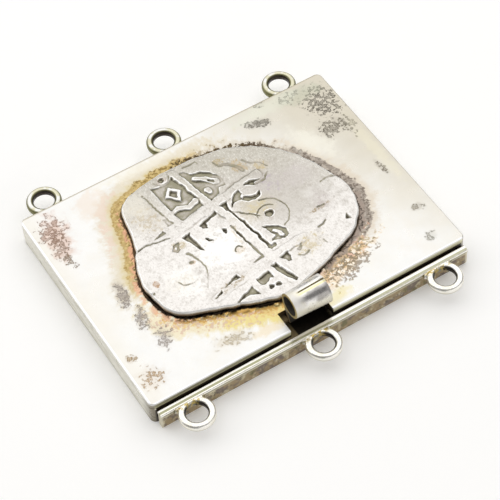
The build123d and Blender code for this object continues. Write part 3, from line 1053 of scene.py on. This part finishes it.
    def lid(self, bench: Bench, edge: CoinEdge) -> tuple[Socket, Socket]:
        """Colours the lid: soft cloth-rubbed white, painted shade and highlights, burns round the coin, and
        pitted patches.

        Args:
            bench: Material being built.
            edge: The coin's edge, which the burns follow.

        Returns:
            The lid's colour, and where it is pitted.
        """
        bearing, gap, torn = self.coin_gap(bench, edge)
        crumbs = (*bench.crumbs(1.0, 0.6), *bench.crumbs(0.42, 0.6))
        crumbs = (*crumbs, bench.net(0.85, crumbs[4]))
        torn = bench.add("Math", (crumbs[0], 0.7, torn), operation="MULTIPLY_ADD")
        torn = bench.add("Math", (torn, -0.35), operation="ADD")
        inputs = {"Vector": bench.place, "Scale": 1 / 7.0, "Detail": 3.0, "Roughness": 0.6}
        cloud = bench.add("TexNoise", inputs)
        slope = bench.add("Math", (bench.y, 0.6, bench.x), operation="MULTIPLY_ADD")
        slope = bench.add("Math", (cloud, 6.0, slope), operation="MULTIPLY_ADD")
        wide = bench.add("Math", (cloud, 4.0, bench.x), operation="MULTIPLY_ADD")
        colour = bench.stains(
            linear(self.clean),
            (self.warm, cloud, 0.45, 0.65, 0.35),
            (self.warm, crumbs[4], 0.54, 0.66, 0.2),
            # Painted shade darkens the lid towards the far right corner
            (self.dull, slope, 10.0, 27.0, 0.95),
            # The left end is a little warmer
            (self.warm, wide, -15.0, -18.0, 0.5),
        )
        for halo in self.halos:
            share = halo.share_at(bench, bearing, gap, torn, crumbs)
            colour = bench.stain(colour, halo.colour, share, 0.0, 1.0)
        pits: Socket | float = 0.0
        for blotch in self.blotches:
            colour, share = blotch.lay(bench, colour, crumbs)
            pits = bench.add("Math", (share, pits), operation="MAXIMUM")
        colour = bench.stains(
            colour,
            # Painted shade on the rounding of the far edge
            (self.border, bench.y, REAR_WALL - 0.35, REAR_WALL - 0.15, 0.8),
            # Folded edges catch the light
            (self.glint, bench.x, self.side_wall + 0.26, self.side_wall + 0.20, 0.9),
            (self.glint, bench.y, FRONT_WALL + 0.3, FRONT_WALL + 0.2, 0.8),
        )
        return colour, pits

    def material(self, edge: CoinEdge, top: float) -> bpy.types.Material:
        """Builds the material.

        Args:
            edge: The coin's edge, which the burns follow.
            top: Height of the lid in millimetres.

        Returns:
            The material.
        """
        bench = Bench(self.name)
        lid, pits = self.lid(bench, edge)
        # Walls, drawn thin along their length
        place = bench.add("VectorMath", (bench.place, (0.25, 0.25, 1.6)), operation="MULTIPLY")
        drawn = bench.add("TexNoise", {"Vector": place, "Scale": 1 / 0.7, "Detail": 4.0, "Roughness": 0.6})
        wall = bench.stains(
            linear(self.wall),
            (self.wall_shade, drawn, 0.5, 0.64, 0.8),
            (self.olive, bench.z, 0.35, 0.05, 0.6),
            (self.corner, bench.y, FRONT_WALL + 2.4, FRONT_WALL + 0.1, 0.8),
        )
        on_lid = bench.within((bench.z, top - 0.22, top - 0.08))
        colour = bench.add("Mix", {0: on_lid, 6: wall, 7: lid}, 2, data_type="RGBA")
        # The open front shows the sheet's sawn edge and the catch bar under it, with painted shade low down
        # on the front
        low = bench.within((bench.z, top - 0.05, top - 0.13))
        front = bench.within((bench.y, FRONT_WALL + 0.10, FRONT_WALL + 0.02), most=low)
        sawn = bench.stains(
            linear(self.sawn),
            (self.sawn_left, bench.x, 6.0, -14.0, 0.8),
            (self.sawn_low, bench.z, top - 0.35, top - 0.60, 0.9),
            (self.catch, bench.z, top - 0.60, top - 0.72),
            (self.oxide, bench.z, top - 0.96, top - 1.04),
        )
        colour = bench.add("Mix", {0: front, 6: colour, 7: sawn}, 2, data_type="RGBA")
        beside = bench.from_notch()
        notch = bench.within((beside, self.notch_half + 0.04, self.notch_half + 0.01), most=low)
        reach = bench.ring_reach(REAR_RING_SHIFT, RING_MIDDLE_Y)
        behind = bench.within((bench.y, REAR_WALL + 0.02, REAR_WALL + 0.08))
        straw = bench.crumbs(1.1, 0.5)
        aside = bench.add("Math", (bench.x,), operation="ABSOLUTE")
        hollow = bench.within(
            (bench.z, self.floor - 0.06, self.floor + 0.02),
            (bench.z, top - 0.62, top - 0.68),
            (aside, self.cavity_half + 0.1, self.cavity_half),
        )
        colour = bench.stains(
            colour,
            (self.brown, bench.y, self.notch_back + 0.05, self.notch_back + 0.01, notch),
            # Rings: a painted highlight along the top, straw tarnish, and painted shade down their outer
            # sides and inside
            (self.glint, behind, 0.0, 1.0, 0.6),
            (self.straw, straw[1], 0.44, 0.56, behind),
            (self.olive, reach, RING_WIRE_OUTSIDE - 0.30, RING_WIRE_OUTSIDE - 0.08, behind),
            (self.olive, reach, RING_WIRE_INSIDE + 0.32, RING_WIRE_INSIDE + 0.22, behind),
            (self.oxide, reach, RING_WIRE_INSIDE + 0.24, RING_WIRE_INSIDE + 0.06, behind),
            # Inside the case nothing is ever polished
            (self.oxide, bench.y, REAR_WALL - 0.55, REAR_WALL - 0.65, hollow),
        )
        cloud = bench.add("TexNoise", {"Vector": bench.place, "Scale": 1 / 1.6, "Detail": 4.0})
        rough = bench.add("MapRange", (cloud, 0.3, 0.7, 0.26, 0.38))
        rough = bench.add("Math", (pits, 0.2, rough), operation="MULTIPLY_ADD")
        metal = bench.add("MapRange", (bench.z, top - 0.25, top - 0.1, 0.45, 0.95))
        metal = bench.add("MapRange", (front, 0.0, 1.0, metal, 0.1))
        metal = bench.add("Math", (pits, -0.4, metal), operation="MULTIPLY_ADD")
        soft = bench.add("TexNoise", {"Vector": bench.place, "Scale": 1 / 3.0, "Detail": 3.0})
        height = bench.add("Math", (drawn, 0.1, soft), operation="MULTIPLY_ADD")
        height = bench.add("Math", (pits, -0.5, height), operation="MULTIPLY_ADD")
        return bench.finish(colour, metal, rough, height, 0.03)


def dress(piece: bpy.types.Object, material: bpy.types.Material) -> bpy.types.Object:
    """Gives a piece one material all over.

    Args:
        piece: Piece to dress.
        material: Its material.

    Returns:
        The piece.
    """
    piece.data.materials.clear()
    piece.data.materials.append(material)
    return piece


@dataclass(frozen=True)
class Beads:
    """Lumps of solder at the roots of a row of rings: uneven drops that fill the corners."""

    shift: float
    wall: float
    side: float
    level: float
    drops: tuple[tuple[float, ...], ...] = (
        # Beside the ring, above its middle, then length, depth and height
        (-1.42, 0.02, 0.62, 0.40, 0.40),
        (1.40, -0.04, 0.46, 0.36, 0.34),
        (-1.05, 0.24, 0.50, 0.30, 0.24),
        (0.75, 0.28, 0.62, 0.22, 0.18),
        (-0.20, 0.30, 0.40, 0.20, 0.16),
    )
    around: int = 28
    rings: int = 18
    sink: float = 0.08

    def build(self, name: str, body: str, material: bpy.types.Material) -> bpy.types.Object:
        """Builds the drops of the whole row in one mesh.

        Args:
            name: Name of the object.
            body: Piece that carries them.
            material: The metal of that piece.

        Returns:
            The beads' object.
        """
        turns = np.linspace(0, 2 * math.pi, self.around, endpoint=False)
        turn, rise = np.meshgrid(turns, np.linspace(-math.pi / 2, math.pi / 2, self.rings))
        outward = band(self.rings, self.around)[:, [0, 3, 2, 1]]
        random = np.random.default_rng(23)
        places, faces = [], []
        for ring in (-1, 0, 1):
            for beside, above, length, depth, height in self.drops:
                knobs = random.uniform(0, 6.3, 4)
                swell = 1 + 0.14 * np.sin(2 * turn + knobs[0]) * np.cos(rise)
                swell += 0.10 * np.sin(3 * turn + knobs[1]) * np.cos(2 * rise + knobs[2])
                swell += 0.07 * np.sin(5 * turn + knobs[3]) * np.cos(rise)
                x = self.shift + ring * RING_PITCH + beside + length * swell * np.cos(turn) * np.cos(rise)
                y = self.wall + self.side * (self.sink + depth * swell * np.sin(turn) * np.cos(rise))
                z = self.level + above + height * swell * np.sin(rise)
                faces += (outward + len(places) * turn.size).tolist()
                places.append(np.stack([x, y, z], axis=-1).reshape(-1, 3))
        beads = shape(name, np.concatenate(places), faces, material)
        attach(beads, body)
        return beads


@dataclass(frozen=True)
class Seam:
    """The seam of solder that holds the coin: it runs from under the coin's foot out onto the lid."""

    edge: CoinEdge
    width: float = 0.42
    height: float = 0.17
    around: int = 900
    # Its section, as shares of its width outside the coin's edge and of its height
    section: tuple[Point, ...] = (
        (-0.90, 0.65), (-0.15, 1.0), (0.30, 0.90), (0.60, 0.60), (0.85, 0.25), (1.0, -0.04),
    )

    def build(self, material: bpy.types.Material) -> bpy.types.Object:
        """Builds the seam as an uneven band round the coin.

        Args:
            material: The lid's metal, whose stains it shares.

        Returns:
            The seam's object.
        """
        bearing = even_bearings(self.around)
        reach = self.edge.radii(self.around)
        random = np.random.default_rng(31)
        wide, high, fine = (ripple(random, self.around, width) for width in (14, 20, 5))
        width = self.width * np.clip(1 + 0.38 * wide + 0.16 * fine, 0.35, 2.2)
        height = self.height * np.clip(1 + 0.30 * high + 0.12 * fine, 0.4, 1.8)
        rings = []
        for out, up in self.section:
            x = (reach + out * width) * np.cos(bearing)
            y = (reach + out * width) * np.sin(bearing) + COIN_MIDDLE_Y
            rings.append(np.stack([x, y, LID_TOP + up * height], axis=-1))
        faces = band(len(rings), self.around).tolist()
        seam = shape("coin_seam", np.concatenate(rings), faces, material)
        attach(seam, "box")
        return seam


@dataclass
class Case:
    """The case: bottom, walls, lid and rear rings in one soldered piece."""

    edge: CoinEdge = field(default_factory=CoinEdge)
    finish: SheetSilver = field(default_factory=SheetSilver)
    beads: Beads = Beads(shift=REAR_RING_SHIFT, wall=REAR_WALL, side=1, level=2.3)

    def build(self) -> bpy.types.Object:
        """Dresses the case's own solid, and adds the solder that shows on it.

        Returns:
            The case's object.
        """
        material = self.finish.material(self.edge, LID_TOP)
        Seam(self.edge).build(material)
        self.beads.build("rear_ring_solder", "box", material)
        return dress(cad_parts["box"], material)


# The tongue and its spring leaf


@dataclass(frozen=True)
class TarnishedSilver:
    """Sterling that nobody rubs: brown and violet sulphide on its face, worn bright where fingers touch."""

    name: str = "sterling_tarnished_on_face"
    bright: str = "#f7f4ec"
    cream: str = "#e2dbc4"
    brown: str = "#a38f6c"
    violet: str = "#776a62"
    pale: str = "#cfc5a6"
    gold: str = "#c2ab62"
    rust: str = "#5a3420"
    film: str = "#9c9a78"
    lit_brown: str = "#a8946c"
    dark: str = "#2e2820"
    olive: str = "#77734a"
    plate_half: float = 19.5
    lit_strip_edge: float = -1.5

    def material(self, plate: float, lip: float) -> bpy.types.Material:
        """Builds the material.

        Args:
            plate: Place of the end plate's face across the clasp, in millimetres.
            lip: Height of the lip's underside.

        Returns:
            The material.
        """
        bench = Bench(self.name)
        patches = bench.crumbs(1.3, 0.65)
        crumbs = bench.crumbs(0.4, 0.65)
        ends = bench.add("Math", (bench.x,), operation="ABSOLUTE")
        colour = bench.stains(
            linear(self.brown),
            (self.violet, patches[0], 0.49, 0.56, 0.9),
            (self.pale, patches[1], 0.55, 0.61, 0.85),
            (self.olive, patches[2], 0.57, 0.62, 0.8),
            (self.dark, crumbs[0], 0.56, 0.66, 0.6),
            (self.pale, crumbs[1], 0.57, 0.66, 0.6),
            # A pale line and a line of painted shadow run under the lip
            (self.cream, bench.z, lip - 0.34, lip - 0.22, 0.8),
            (self.olive, bench.z, lip - 0.16, lip - 0.06),
            (self.cream, ends, self.plate_half - 0.35, self.plate_half - 0.1, 0.8),
        )
        polished = bench.stain(linear(self.bright), self.cream, patches[1], 0.48, 0.64, 0.4)
        raised = bench.within((bench.z, lip + 0.16, lip + 0.30))
        rings = bench.within((bench.y, plate - 0.2, plate - 0.5))
        worn = bench.add("Math", (raised, rings), operation="MAXIMUM")
        colour = bench.add("Mix", {0: worn, 6: colour, 7: polished}, 2, data_type="RGBA")
        # Places behind the plate's face, which drifts back towards the left end
        behind = bench.add("Math", (bench.y, -plate), operation="ADD")
        left = bench.within((bench.x, 3.0, -9.0))
        behind = bench.add("Math", (left, -0.12, behind), operation="MULTIPLY_ADD")
        crest = bench.within((bench.z, lip + 0.1, lip + 0.2))
        dull = bench.add("MapRange", (left, 0.0, 1.0, 0.8, 0.95))
        dull = bench.add("Math", (dull, crest), operation="MULTIPLY")
        deep = bench.add("MapRange", (behind, 1.0, 1.8, 0.97, 0.0))
        under_notch = bench.within(
            (bench.from_notch(), 3.1, 2.7), (bench.y, plate + 4.6, plate + 4.2), (bench.z, 1.3, 1.1),
        )
        lit_strip = bench.within((bench.x, self.lit_strip_edge + 0.08, self.lit_strip_edge - 0.10), most=under_notch)
        reach = bench.ring_reach(FRONT_RING_SHIFT, -RING_MIDDLE_Y)
        under = bench.within((bench.z, lip - 0.05, lip - 0.4), most=rings)
        root = bench.within(
            (bench.y, plate - 0.02, plate - 0.15), (bench.y, plate - 0.75, plate - 0.35), (reach, 2.6, 1.9),
        )
        colour = bench.stains(
            colour,
            # The lip's crest is rubbed narrow, with a line of tarnish before it and a dark red-brown line
            # behind it
            (self.film, behind, -0.04, 0.02, dull),
            (self.bright, behind, 0.24, 0.32, crest),
            (self.rust, behind, 0.55, 0.64, deep),
            # Under the notch the leaf is painted dark as the roll's shadow, with a brown strip of painted
            # light at its left
            (self.dark, behind, 0.7, 0.9, under_notch),
            (self.lit_brown, bench.y, plate + 0.9, plate + 1.0, lit_strip),
            # Painted shade on the rings: olive down their outer sides under the lip, and dark inside
            (self.olive, reach, RING_WIRE_OUTSIDE - 0.24, RING_WIRE_OUTSIDE - 0.03, under),
            (self.dark, reach, RING_WIRE_INSIDE + 0.22, RING_WIRE_INSIDE + 0.04, rings),
            # Yellow solder at the rings' roots
            (self.gold, crumbs[2], 0.44, 0.56, root),
        )
        metal = bench.add("MapRange", (worn, 0.0, 1.0, 0.35, 0.9))
        rough = bench.add("MapRange", (worn, 0.0, 1.0, 0.46, 0.26))
        height = bench.add("Math", (crumbs[0], 0.4, patches[0]), operation="MULTIPLY_ADD")
        return bench.finish(colour, metal, rough, height, 0.035)


@dataclass
class Tongue:
    """The tongue: its end plate with the rings, and the leaf that slides into the case."""

    lip: float = 2.0
    finish: TarnishedSilver = field(default_factory=TarnishedSilver)
    beads: Beads = Beads(shift=FRONT_RING_SHIFT, wall=END_PLATE, side=-1, level=1.95)

    def build(self) -> bpy.types.Object:
        """Dresses the tongue's own solid, and adds the solder at its rings.

        Returns:
            The tongue's object.
        """
        material = self.finish.material(END_PLATE, self.lip)
        self.beads.build("front_ring_solder", "tongue", material)
        return dress(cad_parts["tongue"], material)


@dataclass(frozen=True)
class RolledSilver:
    """Sterling sheet rolled thin and bent: bright outside with painted reflections, oxide inside the roll,
    and painted shade below the lid.
    """

    name: str = "sterling_rolled_bright"
    bright: str = "#f4f1ec"
    cream: str = "#e6e0c8"
    grey_reflection: str = "#9a9694"
    gold: str = "#ebe4b8"
    olive: str = "#a89c6c"
    rim: str = "#c4b382"
    brown: str = "#a5916c"
    dark: str = "#29221a"
    leaf: str = "#b3a994"
    leaf_dark: str = "#968a76"
    roll_y: float = -12.57
    roll_z: float = 5.05
    roll_inside: float = 1.1
    roll_left: float = -1.8
    roll_right: float = 2.6
    seam_turn: float = 92.0
    seam_start: float = -0.65
    scuffed: float = 0.68

    def material(self, lid: float) -> bpy.types.Material:
        """Builds the material.

        Args:
            lid: Height of the lid in millimetres.

        Returns:
            The material.
        """
        bench = Bench(self.name)
        soft = bench.add("TexNoise", {"Vector": bench.place, "Scale": 1 / 1.5, "Detail": 3.0})
        crumbs = bench.crumbs(0.4, 0.6)
        # Turn round the roll, from its front over its top
        forward = bench.add("Math", (self.roll_y, bench.y), operation="SUBTRACT")
        up = bench.add("Math", (bench.z, self.roll_z), operation="SUBTRACT")
        turn = bench.add("Math", (up, forward), operation="ARCTAN2")
        turn = bench.add("Math", (turn,), operation="DEGREES")
        torn = bench.add("Math", (soft, 70.0, turn), operation="MULTIPLY_ADD")
        film = bench.add("MapRange", (bench.x, -1.4, 0.4), interpolation_type="SMOOTHSTEP")
        film = bench.add("MapRange", (torn, 112.0, 94.0, 0.0, film), interpolation_type="SMOOTHSTEP")
        film = bench.add("Math", (film, 0.8), operation="MULTIPLY")
        seam = bench.add("Math", (turn, self.seam_turn), operation="SUBTRACT")
        beside = bench.add("Math", (seam, 11.0), operation="ADD")
        line, crease = (bench.add("Math", (v,), operation="ABSOLUTE") for v in (beside, seam))
        run = bench.within((bench.x, self.seam_start - 0.3, self.seam_start + 0.1))
        end = bench.within((bench.x, self.roll_left + 0.05, self.roll_left + 0.02))
        strip = bench.within((bench.z, lid + 0.2, lid - 0.3), most=end)
        section = bench.add("CombineXYZ", (forward, up))
        reach = bench.add("VectorMath", (section,), "Value", operation="LENGTH")
        colour = bench.stains(
            linear(self.bright),
            (self.cream, soft, 0.45, 0.7, 0.6),
            # A painted reflection of the pale floor on the lower front
            (self.cream, torn, 66.0, 40.0, 0.7),
            # A painted grey reflection on the upper front, and fine lines along the seam with a painted gold
            # highlight beside them
            (self.grey_reflection, torn, 58.0, 76.0, film),
            (self.gold, line, 6.5, 1.95, run),
            (self.olive, crease, 6.0, 1.8, run),
            (self.rim, bench.z, lid + 0.3, lid + 0.5, end),
            (self.dark, reach, self.roll_inside + 0.16, self.roll_inside + 0.04, 0.95),
            # Below the lid it is painted black as shade, apart from a strip of painted light at its left edge
            (self.dark, bench.z, lid + 0.6, lid - 0.1, 0.95),
            (self.brown, bench.z, 0.6, 0.9, strip),
        )
        # The leaf itself is tarnished under the lid, and keeps the painted shade only under the notch
        leaf = bench.stain(linear(self.leaf), self.leaf_dark, soft, 0.36, 0.70, 0.8)
        covered = bench.within((bench.from_notch(), 2.75, 2.95))
        inward = bench.within((bench.y, self.roll_y + 1.3, self.roll_y + 1.6))
        covered = bench.add("Math", (covered, inward), operation="MAXIMUM")
        covered = bench.within((bench.z, lid - 0.8, lid - 0.9), most=covered)
        colour = bench.add("Mix", {0: covered, 6: colour, 7: leaf}, 2, data_type="RGBA")
        metal = bench.add("MapRange", (turn, 10.0, 45.0, 0.35, 0.95))
        metal = bench.add("MapRange", (reach, self.roll_inside + 0.04, self.roll_inside + 0.16, 0.1, metal))
        rough = bench.add("MapRange", (crumbs[0], 0.3, 0.7, 0.24, 0.34))
        # The left third is scuffed dull, and so is the rim at the right end
        worn = bench.add("Math", (soft, 2.0, bench.x), operation="MULTIPLY_ADD")
        rough = bench.add("MapRange", (worn, 0.7, -0.2, rough, self.scuffed))
        rim = self.roll_right - 0.2
        rough = bench.add("MapRange", (bench.x, rim - 0.15, rim, rough, self.scuffed))
        rough = bench.add("MapRange", (covered, 0.0, 1.0, rough, 0.45))
        height = bench.add("Math", (crumbs[1], 0.02, soft), operation="MULTIPLY_ADD")
        return bench.finish(colour, metal, rough, height, 0.05)


@dataclass
class SpringLeaf:
    """The spring leaf with its thumb roll."""

    finish: RolledSilver = field(default_factory=RolledSilver)

    def build(self) -> bpy.types.Object:
        """Dresses the leaf's own solid."""
        return dress(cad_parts["spring_leaf"], self.finish.material(LID_TOP))


# The studio


@dataclass(frozen=True)
class Softbox:
    """One soft light: where it stands, how wide it is, and its power in watts."""

    name: str
    place: Point3
    width: float
    height: float
    power: float


@dataclass
class Studio:
    """A pale table under soft light, seen from the photograph's angle."""

    camera_place: Point3 = (-60.70, -114.45, 169.24)
    camera_right: Point3 = (0.84878, -0.52659, -0.04773)
    camera_up: Point3 = (0.44386, 0.66055, 0.60552)
    lens: float = 136.98
    sensor: float = 36.0
    sky: str = "#ffffff"
    sky_strength: float = 0.26
    table: str = "#f6f5f3"
    table_half: float = 800.0
    table_glow: float = 0.2
    softboxes: tuple[Softbox, ...] = (
        Softbox("overhead", (0.12, 0.26, 0.55), 1.3, 1.1, 4.9),
        Softbox("window", (-0.50, 0.42, 0.34), 0.5, 0.4, 0.75),
        Softbox("low_card", (0.25, -0.75, 0.22), 1.4, 0.5, 1.9),
    )

    def camera(self) -> bpy.types.Object:
        """Sets up the camera.

        Returns:
            The camera's object.
        """
        data = bpy.data.cameras.new("product_camera")
        data.sensor_width = self.sensor
        data.lens = self.lens
        data.clip_start = 0.01
        camera = put("product_camera", data)
        right, up = Vector(self.camera_right), Vector(self.camera_up)
        turn = Matrix((right, up, right.cross(up))).transposed()
        camera.matrix_world = Matrix.Translation(Vector(self.camera_place) * MM) @ turn.to_4x4()
        bpy.context.scene.camera = camera
        return camera

    def lights(self) -> None:
        """Hangs the softboxes and lights the sky."""
        world = bpy.data.worlds.new("studio_tent")
        bpy.context.scene.world = world
        world.use_nodes = True
        tree = world.node_tree
        tree.nodes.clear()
        glow = add(tree, "Background", {"Color": linear(self.sky), "Strength": self.sky_strength})
        add(tree, "OutputWorld", {"Surface": glow})
        bpy.context.scene.view_settings.view_transform = "Standard"
        for softbox in self.softboxes:
            data = bpy.data.lights.new(softbox.name, "AREA")
            data.shape = "RECTANGLE"
            data.size = softbox.width
            data.size_y = softbox.height
            data.energy = softbox.power
            light = put(softbox.name, data)
            place = Vector(softbox.place)
            turn = place.to_track_quat("Z", "Y").to_matrix().to_4x4()
            light.matrix_world = Matrix.Translation(place) @ turn

    def floor(self) -> bpy.types.Object:
        """Lays the table.

        Returns:
            The table's object.
        """
        material = bpy.data.materials.new("table_acrylic_matt")
        material.use_nodes = True
        shader = material.node_tree.nodes["Principled BSDF"]
        shader.inputs["Base Color"].default_value = linear(self.table)
        shader.inputs["Roughness"].default_value = 0.9
        shader.inputs["Emission Color"].default_value = linear(self.table)
        shader.inputs["Emission Strength"].default_value = self.table_glow
        corners = ((-1, -1, 0), (1, -1, 0), (1, 1, 0), (-1, 1, 0))
        table = shape("table", np.multiply(corners, self.table_half), [(0, 1, 2, 3)], material)
        return table

    def build(self) -> bpy.types.Object:
        """Sets up the table, the lights and the camera.

        Returns:
            The camera's object.
        """
        self.floor()
        self.lights()
        return self.camera()


def main() -> None:
    """Builds every piece in order and says what each one is."""
    logging.basicConfig(level=logging.INFO, format="%(name)s: %(message)s")
    for builder in (Studio(), Case(), Coin(), Tongue(), SpringLeaf()):
        piece = builder.build()
        LOG.info("%s built as %s", type(builder).__name__, piece.name)


if __name__ == "__main__":
    main()
